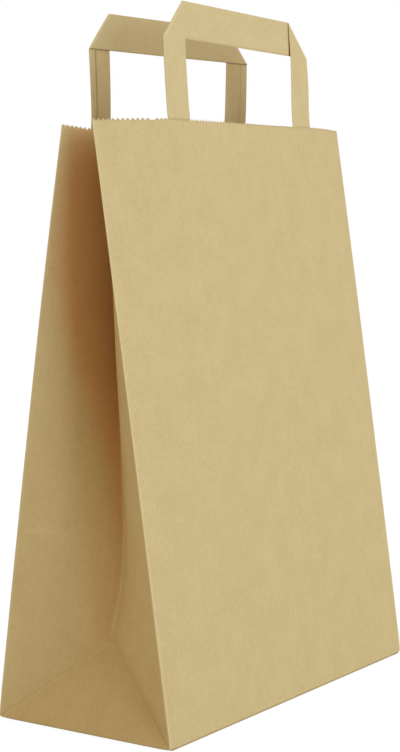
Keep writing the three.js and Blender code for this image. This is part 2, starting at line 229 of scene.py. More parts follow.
class StageLook(bpy.types.PropertyGroup):
    """Floor, light and camera."""

    floor: colour("Floor", "Colour of the floor", (0.86, 0.86, 0.86))
    floor_glow: share("Floor glow", "Share of the floor's white that carries no shadow", 0.86)
    ambient: share("Ambient", "Strength of the even light around the bag", 0.58, 0.0, 2.0)
    ambient_tint: colour("Ambient tint", "Colour of the even light", (1.0, 0.82, 0.505))
    lamp_tint: colour("Lamp tint", "Colour of the lamps", (0.56, 0.75, 1.0))
    key: power("Key lamp", "Large lamp in front of the bag", 22.0)
    key_place: place("Key place", "Where the key lamp hangs", (-0.2, -1.9, 0.75))
    back: power("Back lamp", "Large lamp behind the bag", 16.0)
    back_place: place("Back place", "Where the back lamp hangs", (0.8, 1.75, 0.8))
    top: power("Top lamp", "Large lamp over the bag", 10.0)
    top_place: place("Top place", "Where the top lamp hangs", (0.0, -1.0, 1.9))
    camera: place("Camera", "Where the camera stands", (-0.780619, -0.517453, 0.250824))
    heading: FloatProperty(
        name="Heading", description="Of the camera, from +X towards +Y",
        default=math.radians(33.946), subtype="ANGLE",
    )
    pitch: FloatProperty(
        name="Pitch", description="Of the camera, below level",
        default=math.radians(5.691), subtype="ANGLE",
    )
    lens: FloatProperty(
        name="Lens", description="Focal length in millimetres", default=89.602, unit="CAMERA"
    )


def points_of(x, y, z):
    """Three arrays of coordinates as one array of points."""
    return np.stack(np.broadcast_arrays(x, y, z), axis=-1)


def between(first, second, part):
    """Points part of the way from the first to the second."""
    return first + (second - first) * np.asarray(part)[..., None]


def smooth(low, high, value):
    """0 below low, 1 above high, and a smooth step between."""
    part = np.clip((value - low) / (high - low), 0.0, 1.0)
    return part * part * (3.0 - 2.0 * part)


def ridge(distance, half_width):
    """1 on a line and falling off as a bell beside it."""
    return np.exp(-((distance / half_width) ** 2))


class BagForm:
    """The folded bag as formulas, which turn places on the flat paper into places in metres."""

    def __init__(self, scene):
        """Works out the lengths that the formulas share, and what differs between the two panels."""
        sheet, tape, patch = scene.bag_sheet, scene.bag_tape, scene.bag_patch
        self.sheet, self.tape, self.patch = sheet, tape, patch
        self.half_width = sheet.width / 2
        self.half_depth = sheet.depth / 2
        self.foot = sheet.foot_height
        self.foot_run = self.half_depth / self.foot
        self.perimeter = 2 * (sheet.width + sheet.depth)
        self.base_lift = 2 * sheet.thickness
        self.leg_outer = tape.span / 2
        self.leg_inner = self.leg_outer - tape.width
        self.leg_middle = self.leg_outer - tape.width / 2
        self.tape_inset = sheet.thickness + patch.glue
        lean = (sheet.depth - sheet.mouth_gap) / 2
        rear_cut = sheet.length - sheet.rear_cut_drop
        self.front = SimpleNamespace(
            side=-1.0, lean=lean + sheet.mouth_shift, cut=sheet.length,
            bow=sheet.front_bow, tilt=sheet.front_tilt, crown=sheet.front_crown,
            draw=sheet.front_draw, sway=sheet.front_sway,
            top=sheet.length + tape.rise, slope=tape.front_slope, skew=tape.front_skew,
            turn=tape.front_turn, opening=tape.opening,
        )
        self.rear = SimpleNamespace(
            side=1.0, lean=lean - sheet.mouth_shift, cut=rear_cut,
            bow=sheet.rear_bow, tilt=sheet.rear_tilt, crown=sheet.rear_crown,
            draw=sheet.rear_draw, sway=0.0,
            top=rear_cut + tape.rise - tape.rear_drop, slope=tape.rear_slope, skew=tape.rear_skew,
            turn=tape.rear_turn, opening=0.0,
        )
        self.panels = {"front": self.front, "rear": self.rear}

    def shouldered(self, part):
        """Rises straight from 0 at each side fold and bends to stay at 1 from a shoulder beside the
        patch: a power mean of the slope and the level."""
        sharpness = 10
        edge = np.maximum(1 - np.abs(part), 0.0)
        return edge / (edge**sharpness + self.sheet.shoulder**sharpness) ** (1 / sharpness)

    def bow_at(self, panel, across):
        """Outward swell at the mouth: a shallow lopsided arch between the panel's shoulders, a cubic
        in the way across."""
        part = across / self.half_width
        arch = 1 - panel.tilt * part - panel.crown * part**2 + panel.sway * part**3
        return panel.bow * arch * self.shouldered(part)

    def lean_reach(self, panel, across, up):
        """Distance from the middle plane: the panel leans in and its middle swells out with height."""
        rise = up / self.sheet.length
        curve = self.sheet.lean_curve
        lean = panel.lean * ((1 - curve) * rise + curve * rise**2)
        return self.half_depth - lean + self.bow_at(panel, across) * rise**2

    def unevenness(self, panel, across, up):
        """Three crossing waves, nil at the folds, and the handle's tails showing through the paper."""
        held_foot, tail_share, soft = 0.04, 0.5, 0.0012
        part = np.clip(across / self.half_width, -1, 1)
        waves = sum(
            height * np.sin(2 * np.pi * (across / wide + up / high) + start + shift * panel.side)
            for height, wide, high, start, shift in WAVES
        )
        held = (1 - part**2) * smooth(0.0, held_foot, up)
        over = np.abs(across)
        tail = smooth(self.leg_inner - soft, self.leg_inner + soft, over)
        tail = tail * (1 - smooth(self.leg_outer - soft, self.leg_outer + soft, over))
        tail = tail * smooth(panel.cut - self.tape.tail - soft, panel.cut - self.tape.tail + soft, up)
        return self.sheet.ripple * (waves * held + tail_share * tail)

    def reach(self, panel, across, up):
        """The leaning panel with its unevenness."""
        return self.lean_reach(panel, across, up) + self.unevenness(panel, across, up)

    def height(self, panel, across, up):
        """Height of the paper: its length less half of its squared outward slope, summed up the panel."""
        rise = up / self.sheet.length
        curve = self.sheet.lean_curve
        start = -panel.lean * (1 - curve)
        change = 2 * (self.bow_at(panel, across) - panel.lean * curve)
        taken = start**2 * rise + start * change * rise**2 + change**2 * rise**3 / 3
        return self.base_lift + up - taken / (2 * self.sheet.length)

    def drawn_in(self, panel, across, up):
        """Place across the bag: the swell draws the sides in, with the fourth power of the height."""
        return across * (1 - panel.draw * (up / self.sheet.length) ** 4)

    def panel_point(self, panel, across, up, inset=0.0):
        """A point of a panel, or of a layer that lies that inset behind its outer face."""
        y = panel.side * (self.reach(panel, across, up) - inset)
        return points_of(self.drawn_in(panel, across, up), y, self.height(panel, across, up))

    def apex(self, hand):
        """Drop of the inner fold, and rise and inward run of the triangle at a gusset's foot.

        The triangle's tip is the foot's height from the bottom fold, and half the bag's depth from
        both side folds."""
        corner = hand * self.half_width
        front = self.panel_point(self.front, corner, self.foot)
        rear = self.panel_point(self.rear, corner, self.foot)
        gap = (rear[1] - front[1]) / 2
        edge = (front[2] + rear[2]) / 2 - self.base_lift
        rise = (gap**2 + edge**2 + self.foot**2 - self.half_depth**2) / (2 * edge)
        return edge - rise, rise, math.sqrt(self.foot**2 - rise**2)

    def climb(self, up):
        """Share of the gussets' height above their bottom triangles."""
        return (up - self.foot) / (self.sheet.length - self.foot)

    def crease_point(self, hand, up):
        """The inner fold of a gusset above its bottom triangle: both halves keep their width, and
        the fold wanders to the rear on its way up, after a bend to the front at its foot."""
        front = self.panel_point(self.front, hand * self.half_width, up)
        rear = self.panel_point(self.rear, hand * self.half_width, up)
        gap = (rear[..., 1] - front[..., 1]) / 2
        drop = self.apex(hand)[0]
        inward = np.sqrt(self.half_depth**2 - gap**2 - drop**2)
        climb = self.climb(up)
        wandering = smooth(0.16, 0.62, climb) - smooth(0.62, 1.0, climb)
        bent = smooth(0.0, 0.12, climb) * (1 - smooth(0.1, 0.36, climb))
        shift = self.sheet.crease_shift * wandering - self.sheet.crease_bend * bent
        return (front + rear) / 2 + points_of(-hand * inward, shift, -drop)

    def gusset_point(self, hand, start, up):
        """A point of a gusset, on its foot or on the wall above; start is the paper's distance from
        the front fold."""
        at_rear = start > self.half_depth
        corner = hand * self.half_width
        edge = np.where(
            at_rear[..., None],
            self.panel_point(self.rear, corner, up),
            self.panel_point(self.front, corner, up),
        )
        side = np.where(at_rear, 1.0, -1.0)
        along = np.where(at_rear, self.sheet.depth - start, start)
        foot = self.gusset_foot(hand, side, along, edge, up)
        wall = self.gusset_wall(hand, side, along, edge, up)
        return np.where((up < self.foot)[..., None], foot, wall)

    def gusset_foot(self, hand, side, along, edge, up):
        """The foot of a gusset, along from the nearer side fold: a flat triangle between two strips,
        which are ruled from the side folds to its slanting edges. Those edges are pinched in."""
        pinch_reach, pinch_depth, pinch_start = 0.0032, 0.0006, 0.012
        rise, inward = self.apex(hand)[1:]
        part = up / self.foot
        slant = up * self.foot_run
        x = hand * (self.half_width - inward * part)
        z = self.base_lift + rise * part
        triangle = points_of(x, side * (self.half_depth - along), z)
        tip = points_of(x, side * (self.half_depth - slant), z)
        strip = between(edge, tip, along / np.maximum(slant, TINY))
        foot = np.where((along >= slant)[..., None], triangle, strip)
        kept = smooth(0.0, pinch_start, up) * (1 - smooth(0.8, 1.0, part))
        pushed = pinch_depth * ridge(along - slant, pinch_reach) * kept / self.foot
        return foot - points_of(hand * rise, 0.0, inward) * pushed[..., None]

    def gusset_wall(self, hand, side, along, edge, up):
        """The wall of a gusset: each half spans from its side fold to the inner fold, with an outward
        swell, a soft bend up its length and the mark of packing."""
        bend_at, rear_bend, front_bend, pack_height = 0.36, 0.0011, 0.0004, 0.0003
        climb = np.clip(self.climb(up), 0, 1)
        crease = self.crease_point(hand, np.maximum(up, self.foot))
        chord = crease - edge
        across = points_of(-chord[..., 1], chord[..., 0], 0.0)
        across = across / np.linalg.norm(across, axis=-1, keepdims=True)
        reached = along / self.half_depth
        swell = np.sin(np.pi * climb**self.sheet.gusset_bow_power) * np.sin(np.pi * reached)
        lying = smooth(0.0, 0.2, climb) * (1 - smooth(0.55, 0.9, climb))
        bend = 1 - np.abs(reached - bend_at) / np.where(reached < bend_at, bend_at, 1 - bend_at)
        out = self.sheet.gusset_bow * swell
        out = out + np.where(side > 0, rear_bend, front_bend) * np.maximum(0.0, bend) * lying
        out = out + pack_height * self.pack_mark(side, along, up)
        return between(edge, crease, reached) + across * (side * hand * out)[..., None]

    def pack_mark(self, side, along, up):
        """A short crosswise mark of flat packing on a gusset's rear half, wavering in height."""
        waver, wave, reach = 0.0008, 0.006, 0.0013
        start = self.sheet.depth - along
        height = self.sheet.pack_crease + waver * np.sin(start / wave)
        reached = along / self.half_depth
        kept = smooth(0.02, 0.12, reached) * (1 - smooth(0.32, 0.5, reached))
        return ridge(up - height, reach) * kept * (side > 0)

    def base_point(self, round_at, under):
        """A point under the bag, that far in from the bottom fold, drawn towards the middle."""
        width, depth = self.sheet.width, self.sheet.depth
        narrow = 1 - under / self.half_width
        shallow = 1 - under / self.half_depth
        half = np.mod(round_at, width + depth)
        on_panel = half <= width
        turn = np.where(round_at < width + depth, 1.0, -1.0)
        x = np.where(on_panel, (half - self.half_width) * narrow, self.half_width - under)
        y = np.where(on_panel, under - self.half_depth, (half - width - self.half_depth) * shallow)
        return points_of(turn * x, turn * y, self.base_lift)

    def sheet_point(self, round_at, up):
        """A point of the folded sheet; round_at runs from the front panel's left fold, round the bag."""
        width, depth = self.sheet.width, self.sheet.depth
        s, up = np.broadcast_arrays(np.mod(round_at, self.perimeter), up)
        high = np.maximum(up, 0.0)
        front = self.panel_point(self.front, np.clip(s, 0, width) - self.half_width, high)
        right = self.gusset_point(1.0, np.clip(s - width, 0, depth), high)
        rear_s = np.clip(s, width + depth, 2 * width + depth)
        rear = self.panel_point(self.rear, 1.5 * width + depth - rear_s, high)
        left = self.gusset_point(-1.0, np.clip(self.perimeter - s, 0, depth), high)
        face = np.searchsorted([width, width + depth, 2 * width + depth], s)[..., None]
        wall = np.choose(face, [front, right, rear, left])
        base = self.base_point(s, np.maximum(-up, 0.0))
        return np.where((up < 0)[..., None], base, wall)

    def fold_distance(self, round_at):
        """Distances on the paper to the nearest side fold and to the nearest inner gusset fold, and
        whether the place is on a gusset."""
        width, depth = self.sheet.width, self.sheet.depth
        half = np.mod(round_at, width + depth)
        to_side = np.minimum(np.minimum(half, np.abs(half - width)), width + depth - half)
        to_crease = np.abs(half - width - self.half_depth)
        return to_side, to_crease, half > width

    def soft_point(self, round_at, up):
        """The folded sheet with rounded folds: each point is the mean over a small disc of paper.

        The disc is small at the side and bottom folds and wider at the gussets' soft creases."""
        to_side, _, on_gusset = self.fold_distance(round_at)
        crisp, soft, corner_reach = self.sheet.side_softness, self.sheet.crease_softness, 0.004
        widening = smooth(0.001, 0.008, to_side) * on_gusset * smooth(0.001, 0.006, up)
        corner = ridge(to_side, corner_reach) * ridge(up, corner_reach)
        radius = crisp + (soft - crisp) * np.maximum(widening, corner)
        total = self.sheet_point(round_at, up)
        rings = ((0.55, 6), (1.0, 9))
        for ring, count in rings:
            for angle in np.arange(count) * 2 * np.pi / count:
                step = ring * radius
                total = total + self.sheet_point(
                    round_at + step * math.cos(angle), up + step * math.sin(angle)
                )
        return total / (1 + sum(count for _, count in rings))

    def cut_length(self, round_at):
        """Length of paper from the bottom fold to the cut edge, which rises a little to the front
        folds, falls across the gussets with the cube of the way, and dips on the rear panel."""
        sheet = self.sheet
        into_right = np.clip((round_at - sheet.width) / sheet.depth, 0, 1)
        into_left = np.clip((self.perimeter - round_at) / sheet.depth, 0, 1)
        into = np.minimum(into_right, into_left)
        on_front = round_at / self.half_width - 1
        on_rear = (1.5 * sheet.width + sheet.depth - round_at) / self.half_width
        rise = sheet.front_cut_rise * (1 - into) ** 3 * (1 - self.shouldered(on_front))
        drop = sheet.rear_cut_drop * into**3 + sheet.rear_cut_dip * self.shouldered(on_rear)
        return sheet.length + rise - drop

    def edge_slope(self, panel, across):
        """Outward run of a panel for each unit of paper at its top."""
        curve = self.sheet.lean_curve
        return (2 * self.bow_at(panel, across) - panel.lean * (1 + curve)) / self.sheet.length

    def handle_point(self, panel, across, up, inset):
        """A point of a handle: on the panel below the cut edge, and above it bending to its own slope
        while the panel's bow flattens out, its draw-in ends and the bar's own turn and skew grow."""
        top = self.sheet.length
        over = np.maximum(up - top, 0.0)
        part = over / self.tape.rise
        leg_reach = self.lean_reach(panel, self.leg_middle, top)
        bow = (self.lean_reach(panel, across, top) - leg_reach) * (1 - self.tape.flattening * part)
        turning = self.edge_slope(panel, self.leg_middle) - panel.slope
        bend = turning * self.tape.bend * (1 - np.exp(-over / self.tape.bend))
        uneven = self.unevenness(panel, across, top) * np.clip(1 - 2 * part, 0, 1)
        turn = panel.turn * part * across / self.leg_middle
        out = leg_reach + bow + panel.slope * over + bend + turn + uneven
        leg_rest = self.height(panel, self.leg_middle, top)
        dip = (self.height(panel, across, top) - leg_rest) * (1 - part)
        z = leg_rest + dip + over + panel.skew * part * across / self.leg_middle
        x = across * (1 - panel.draw * (1 - part))
        above = points_of(x, panel.side * (out - inset), z)
        below = self.panel_point(panel, across, np.minimum(up, top), inset)
        return np.where((up > top)[..., None], above, below)


def grid_faces(rows, columns, closed=False):
    """Quads of a grid of points, row by row; a closed grid joins its last column to its first."""
    column = np.arange(columns if closed else columns - 1)
    row = np.arange(rows - 1)[:, None] * columns
    right = (column + 1) % columns
    quads = np.stack([row + column, row + right, row + right + columns, row + column + columns], -1)
    return quads.reshape(-1, 4)


def grid_map(across, up, closed_length=None):
    """Paper coordinates of each quad's four corners, for the paper map."""
    across, up = np.broadcast_arrays(across, up)
    if closed_length is not None:
        across = np.concatenate([across, across[:, :1] + closed_length], axis=1)
        up = np.concatenate([up, up[:, :1]], axis=1)
    flat = np.stack([across, up], axis=-1)
    corners = [flat[:-1, :-1], flat[:-1, 1:], flat[1:, 1:], flat[1:, :-1]]
    return np.stack(corners, axis=2).reshape(-1, 4, 2)


def sheet_part(points, across, up, marks=None, closed_length=None):
    """One grid of points as a part of a mesh: vertices, quads, paper map and marks."""
    rows, columns = points.shape[:2]
    size = rows, columns
    marks = {**MARKS, **(marks or {})}
    return SimpleNamespace(
        points=points.reshape(-1, 3),
        faces=grid_faces(rows, columns, closed_length is not None),
        places=grid_map(across, up, closed_length),
        marks={name: np.broadcast_to(values, size).ravel() for name, values in marks.items()},
    )


def welded(part):
    """A part whose vertices in one place are one vertex, without the faces that this closes up."""
    rounded = np.round(part.points, 8)
    _, first, same = np.unique(rounded, axis=0, return_index=True, return_inverse=True)
    faces = same.reshape(-1)[part.faces]
    ordered = np.sort(faces, axis=1)
    whole = (np.diff(ordered, axis=1) > 0).all(axis=1)
    return SimpleNamespace(
        points=part.points[first],
        faces=faces[whole],
        places=part.places[whole],
        marks={name: values[first] for name, values in part.marks.items()},
    )


def paper_object(name, parts, material):
    """One mesh object from parts, with their paper map and marks, smooth shaded."""
    counts = np.cumsum([0] + [len(part.points) for part in parts])
    points = np.concatenate([part.points for part in parts])
    faces = np.concatenate([part.faces + start for part, start in zip(parts, counts)])
    places = np.concatenate([part.places for part in parts])
    mesh = bpy.data.meshes.new(name)
    mesh.vertices.add(len(points))
    mesh.vertices.foreach_set("co", points.astype(np.float32).ravel())
    mesh.loops.add(faces.size)
    mesh.loops.foreach_set("vertex_index", faces.astype(np.int32).ravel())
    mesh.polygons.add(len(faces))
    mesh.polygons.foreach_set("loop_start", np.arange(0, faces.size, 4, dtype=np.int32))
    mesh.update(calc_edges=True)
    mesh.shade_smooth()
    layer = mesh.uv_layers.new(name=PAPER_MAP)
    layer.uv.foreach_set("vector", places.astype(np.float32).ravel())
    for mark in MARKS:
        values = np.concatenate([part.marks[mark] for part in parts])
        attribute = mesh.attributes.new(mark, "FLOAT", "POINT")
        attribute.data.foreach_set("value", values.astype(np.float32))
    mesh.materials.append(material)
    thing = bpy.data.objects.new(name, mesh)
    bpy.context.scene.collection.objects.link(thing)
    return thing


def thicken(thing, thickness):
    """Gives a sheet the paper's thickness, behind its outer face."""
    solid = thing.modifiers.new("paper_thickness", "SOLIDIFY")
    solid.thickness = thickness
    solid.offset = -1.0
    solid.use_even_offset = True
    solid.thickness_clamp = 0.0


def stations(start, size, steps, near=()):
    """Even steps along a stretch of paper, and some more close to its two ends."""
    even = start + size * np.arange(steps) / steps
    near = np.asarray(near)
    return np.concatenate([even, start + near, start + size - near])


def round_stations(form):
    """Places round the sheet: a valley and a tip for every tooth, and more beside the folds."""
    sheet = form.sheet
    faces = (sheet.width, form.half_depth, form.half_depth)
    starts = np.concatenate([[0.0], np.cumsum(faces * 2)[:-1]])
    near = sheet.side_softness * np.array([0.5, 1.0, 1.6])
    found = [
        stations(start, face, 2 * round(face / sheet.tooth_pitch), near)
        for start, face in zip(starts, faces * 2)
    ]
    return np.unique(np.round(np.concatenate(found), 7))


def tooth_profile(form, round_at):
    """Depth of the cut edge below the tips: a zigzag with a valley at every fold.

    The teeth are deeper on the gussets and uneven in depth on the panels, and on the front they
    are shallow past the middle and one is missing."""
    sheet = form.sheet
    width, depth = sheet.width, sheet.depth
    missing_tooth, missing_reach, missing_depth = 12.5, 0.75, 0.9
    shallow_start, shallow_end = 0.46 * width, 0.57 * width
    shallow_share, shallow_depth = 0.78, 0.35
    gusset_share, deepest, long_wave, short_wave = 1.35, 1.1, 0.0093, 0.0041
    half = np.mod(round_at, width + depth)
    face = np.where(half < width, width, form.half_depth)
    start = np.where(half < width, half, np.mod(half - width, form.half_depth))
    pitch = face / np.round(face / sheet.tooth_pitch)
    zigzag = np.abs(2 * np.mod(start / pitch, 1.0) - 1)
    uneven = 0.16 * np.sin(round_at / long_wave) + 0.12 * np.sin(round_at / short_wave + 1.0)
    uneven = 1 + uneven * (half < width)
    on_front = round_at < width
    fading = 1 - shallow_share * smooth(shallow_start, shallow_end, round_at) * on_front
    missing = on_front * (np.abs(round_at / pitch - missing_tooth) < missing_reach)
    cut = shallow_depth * (1 - fading) + np.clip(zigzag * uneven, 0, deepest) * fading
    deeper = np.where(half < width, 1.0, gusset_share)
    return sheet.tooth_depth * deeper * np.where(missing, missing_depth, cut)


def sheet_rows(form):
    """Distances up the paper: under the base, over the bottom fold, the gusset's foot and the wall."""
    sheet = form.sheet
    crisp = sheet.side_softness
    under = -form.half_depth * np.array([1.0, 0.8, 0.6, 0.4, 0.24, 0.12, 0.05])
    turn = crisp * np.array([-2.4, -1.2, -0.6, 0.0, 0.3, 0.6, 1.0, 1.6])
    foot = form.foot * np.arange(1, 24) / 24
    wall = np.linspace(form.foot, sheet.length - sheet.tooth_band, 39)
    pack = sheet.pack_crease + 0.001 * np.array([-2.4, -1.2, -0.5, 0.5, 1.2, 2.4])
    return np.unique(np.concatenate([under, turn, foot, wall, pack]))


def wall_marks(form, round_at, up):
    """Marks on the folded sheet.

    Pale folds, partly wear and partly painted highlight, are bells beside the side and inner folds,
    with the mark of packing. Painted shade is a thin line along the bottom fold, a painted contact
    shadow, and a broad band beside the front slants, the painted shade of the strip's curve. Slant
    is the distance past an edge of a foot triangle. Groove shade, a painted warm shade, grows with
    height and towards the inner fold, is nil on the triangle and weak on a gusset's front half."""
    fold_reach, crease_reach, base_reach = 0.001, 0.0011, 0.0005
    slant_band_at, slant_band_reach, triangle_edge = -0.0027, 0.0042, 0.0015
    crease_wear_and_highlight, pack_wear_and_highlight, base_shade, slant_band_shade = 0.45, 0.4, 0.5, 0.13
    sheet = form.sheet
    to_side, to_crease, on_gusset = form.fold_distance(round_at)
    along = form.half_depth - to_crease
    standing = up > form.foot
    start = np.where(round_at < 1.5 * sheet.width, round_at - sheet.width, form.perimeter - round_at)
    side = np.where(start < form.half_depth, -1.0, 1.0)
    at_front = side < 0
    # pale folds: wear and painted highlight on the rounded folds, creases and the pack crease
    fold = np.maximum.reduce([
        ridge(to_side, fold_reach) * (up > 0),
        crease_wear_and_highlight * on_gusset * standing * ridge(to_crease, crease_reach),
        pack_wear_and_highlight * on_gusset * form.pack_mark(side, along, up),
    ])
    slant = np.where(on_gusset & (up >= 0), along - up * form.foot_run, 1.0)
    # painted shade: a contact shadow along the bottom fold, and a band beside the front slants for the
    # strip's curve
    slant_band = ridge(slant - slant_band_at, slant_band_reach) * at_front * smooth(0.002, 0.012, up) * (1 - standing)
    painted_shade_share = np.maximum(base_shade * ridge(up, base_reach), slant_band_shade * slant_band)
    # painted warm shade deep in the gusset's groove
    climb = form.climb(up)
    outer = 0.76 * (1 - smooth(0.27, 0.78, climb))
    tuck = smooth(-0.25, 0.5, climb) * (1 - 0.35 * smooth(0.9, 1.0, climb))
    tuck = tuck * smooth(outer - 0.1, outer + 0.3, along / form.half_depth)
    tuck = tuck * (1 - smooth(-triangle_edge, triangle_edge, slant)) * (1 - 0.75 * at_front)
    return {FOLD_MARK: fold, SHADE_MARK: painted_shade_share, SLANT_MARK: slant, GROOVE_SHADE_MARK: tuck}


def wall_part(form):
    """The folded tube as one grid of places round and up the paper, from the line under its base
    on which it is closed up to the teeth of its cut edge."""
    round_at = round_stations(form)[None, :]
    rows = sheet_rows(form)[:, None]
    low = np.broadcast_to(rows, (rows.shape[0], round_at.shape[1]))
    cut = form.cut_length(round_at)
    edge = cut - tooth_profile(form, round_at)
    start = low[-1:]
    band = [start + (edge - start) * part for part in (0.35, 0.7, 1.0)]
    up = np.concatenate([low, *band])
    points = form.soft_point(round_at, up)
    points[0, :, 1] = 0.0
    marks = wall_marks(form, round_at, up)
    return welded(sheet_part(points, round_at, up, marks, form.perimeter))


def flap_part(fold, free, corner, lift):
    """A flat bottom flap: rows run between its fold and its free edge, from the rear to the front,
    and its ends slope at 45 degrees from corners that are cut off beside the bag's round ones."""
    corner_cut, corner_slope = 0.0022, 0.4
    part = np.concatenate([[0.0, 0.02, 0.04, 0.06], np.linspace(0.125, 1.0, 8)])[:, None]
    across = np.linspace(-1.0, 1.0, 33)[None, :]
    y = fold + (free - fold) * (part if fold > free else part[::-1])
    off = np.abs(y - fold)
    half = corner - np.maximum(off, corner_cut - corner_slope * off)
    x = across * half
    return sheet_part(points_of(x, y, lift), x, y)


def end_flap_part(form, hand, lift):
    """A dust flap on the floor of the bag, folded in from a gusset's foot and narrowing inwards."""
    inset, narrowing, length_share = 0.0009, 0.35, 1.1
    part = np.linspace(0.0, 1.0, 9)[None, :]
    across = np.linspace(-1.0, 1.0, 17)[:, None]
    run = form.half_depth * length_share
    x = hand * (form.half_width - inset - run * part)
    y = -hand * across * (form.half_depth - inset - narrowing * run * part)
    return sheet_part(points_of(x, y, lift)[::-1], x, y)


def seam_part(form):
    """The glued lap up the rear panel: it rises from the panel to one more layer at its free edge,
    and is cut with the panel's teeth."""
    gap, base, glue, rise_run = 0.0001, 0.0002, 0.00002, 0.006
    pale_edge, edge_wear_and_highlight, base_reach, base_shade = 0.0011, 0.5, 0.0005, 0.5
    start_clear, end_clear, edge_steps = 0.0002, 0.0012, np.array([0.0009, 0.0004, 0.0])
    sheet = form.sheet
    middle = 1.5 * sheet.width + sheet.depth
    first = middle - sheet.seam_start - sheet.seam_width
    last = middle - sheet.seam_start
    teeth = round_stations(form)
    inside = teeth[(teeth > first + start_clear) & (teeth < last - end_clear)]
    round_at = np.concatenate([[first], inside, last - edge_steps])[None, :]
    top = form.cut_length(round_at) - tooth_profile(form, round_at) - gap
    part = np.concatenate([[0.0, 0.001, 0.0025, 0.005], np.linspace(0.01, 1.0, 70)])[:, None]
    up = base + (top - base) * part
    from_side = round_at - first
    lift = glue + sheet.thickness * smooth(0.0, rise_run, from_side)
    points = form.soft_point(round_at, up) + points_of(0.0, lift, 0.0)
    beside = smooth(sheet.seam_width - pale_edge, sheet.seam_width, from_side)
    # the lap's free edge is pale, wear and painted highlight; a painted contact shadow runs along the
    # bottom fold
    marks = {FOLD_MARK: edge_wear_and_highlight * beside, SHADE_MARK: base_shade * ridge(up, base_reach)}
    return sheet_part(points, round_at, up, marks)


def facing_out(panel, points, across, marks):
    """The columns of a rear piece in turned order, so that its faces point outwards as in front."""
    if panel.side < 0:
        return points, across, marks
    marks = {name: values[:, ::-1] for name, values in marks.items()}
    return points[:, ::-1], across[:, ::-1], marks


def tape_profile(form):
    """Outline of the tape's section: places across it, distances off its middle surface, the height
    of its lap and the shade beside it.

    Its two faces are joined by half circles. The face that lies inwards on the legs has a lapped
    edge, one ply high."""
    lap_steps = np.array([0.0003, 0.0001, 0.00004, -0.00004, -0.0003, -0.0006])
    rim_step, lap_clear, lap_beyond = 0.0005, 0.0006, 0.0012
    shade_at, shade_reach = 0.0001, 0.00042
    tape = form.tape
    edge = tape.thickness / 2
    rim = tape.width / 2 - edge
    lap = tape.lap_share * tape.width - tape.width / 2
    turn = np.linspace(np.pi / 2, -np.pi / 2, 7)[1:-1]
    smooth_face = np.concatenate([[-rim], np.linspace(rim_step - rim, rim - rim_step, 14), [rim]])
    lapped = np.concatenate([
        np.linspace(rim, lap + lap_clear, 10), lap + lap_steps, np.linspace(lap - lap_beyond, -rim, 4)
    ])
    plain, bare = np.zeros_like(smooth_face), np.zeros_like(turn)
    across = (smooth_face, rim + edge * np.cos(turn), lapped, -rim - edge * np.cos(turn))
    off = (plain + edge, edge * np.sin(turn), np.full_like(lapped, -edge), -edge * np.sin(turn))
    ply = (plain, bare, tape.ply * (lapped < lap), bare)
    # painted shade beside the lapped edge
    shade = (plain, bare, ridge(lapped - lap - shade_at, shade_reach), bare)
    return [np.concatenate(values) for values in (across, off, ply, shade)]


def tape_stations(form, panel):
    """Places along the tape from the middle of its bar: even steps, and close ones at each fold. Then
    the place where a fold starts, the tape's end and the radius of its folds."""
    tape = form.tape
    radius = (tape.thickness + tape.fold_gap) / 2
    start = form.leg_middle - np.pi * radius / math.sqrt(2)
    bend = start + math.sqrt(2) * radius * np.linspace(0, np.pi, 11)
    end = form.leg_inner + panel.top - panel.cut + tape.tail
    bar = np.linspace(0, start, 40)[:-1]
    leg = np.linspace(bend[-1], end, 70)[1:]
    half = np.concatenate([bar, bend, leg])
    return np.concatenate([-half[:0:-1], half]), start, end, radius


def folded_strip(form, panel):
    """The flat layout of a tape along its folded path.

    The straight strip runs across the bar. Past each 45 degree line it turns over a small
    cylinder of the folded tape's half thickness, so that the strip comes back outside itself
    as a leg: the distance past the line becomes an angle on the cylinder, and then the
    distance back. A leg may open off its bar at the right corner."""
    lap_run, open_low, open_high = 0.001, 0.002, 0.03
    tape = form.tape
    across, off, ply, lap = (values[None, :] for values in tape_profile(form))
    along, start, end, radius = tape_stations(form, panel)
    along = along[:, None]
    hand = np.where(along < 0, -1.0, 1.0)
    way = np.abs(along)
    slant = np.where(way < start, way / start, 1 - smooth(start, end, way))
    run = way - slant * across
    level = panel.top - tape.width / 2 + across
    line = start + panel.top - tape.width / 2
    past = (run + level - line) / math.sqrt(2)
    half_turn = np.pi * radius
    on_leg = smooth(half_turn, half_turn + lap_run, past)
    off = off - ply * on_leg
    angle = np.clip(past / radius, 0.0, np.pi)
    turned = np.where(past > half_turn, half_turn - past, (radius + off) * np.sin(angle))
    moved = (np.where(past < 0, past, turned) - past) / math.sqrt(2)
    up = level + moved
    lifted = np.clip(past - half_turn, 0.0, tape.width / math.sqrt(2))
    fading = smooth(panel.cut + open_low, panel.cut + open_high, up)
    opened = panel.opening * lifted * fading * (hand > 0)
    return SimpleNamespace(
        along=along, across=across, lap=lap, hand=hand, on_leg=on_leg, fold=past - half_turn / 2,
        x=hand * (run + moved), up=up, layer=radius + (radius + off) * np.cos(angle) - opened,
    )


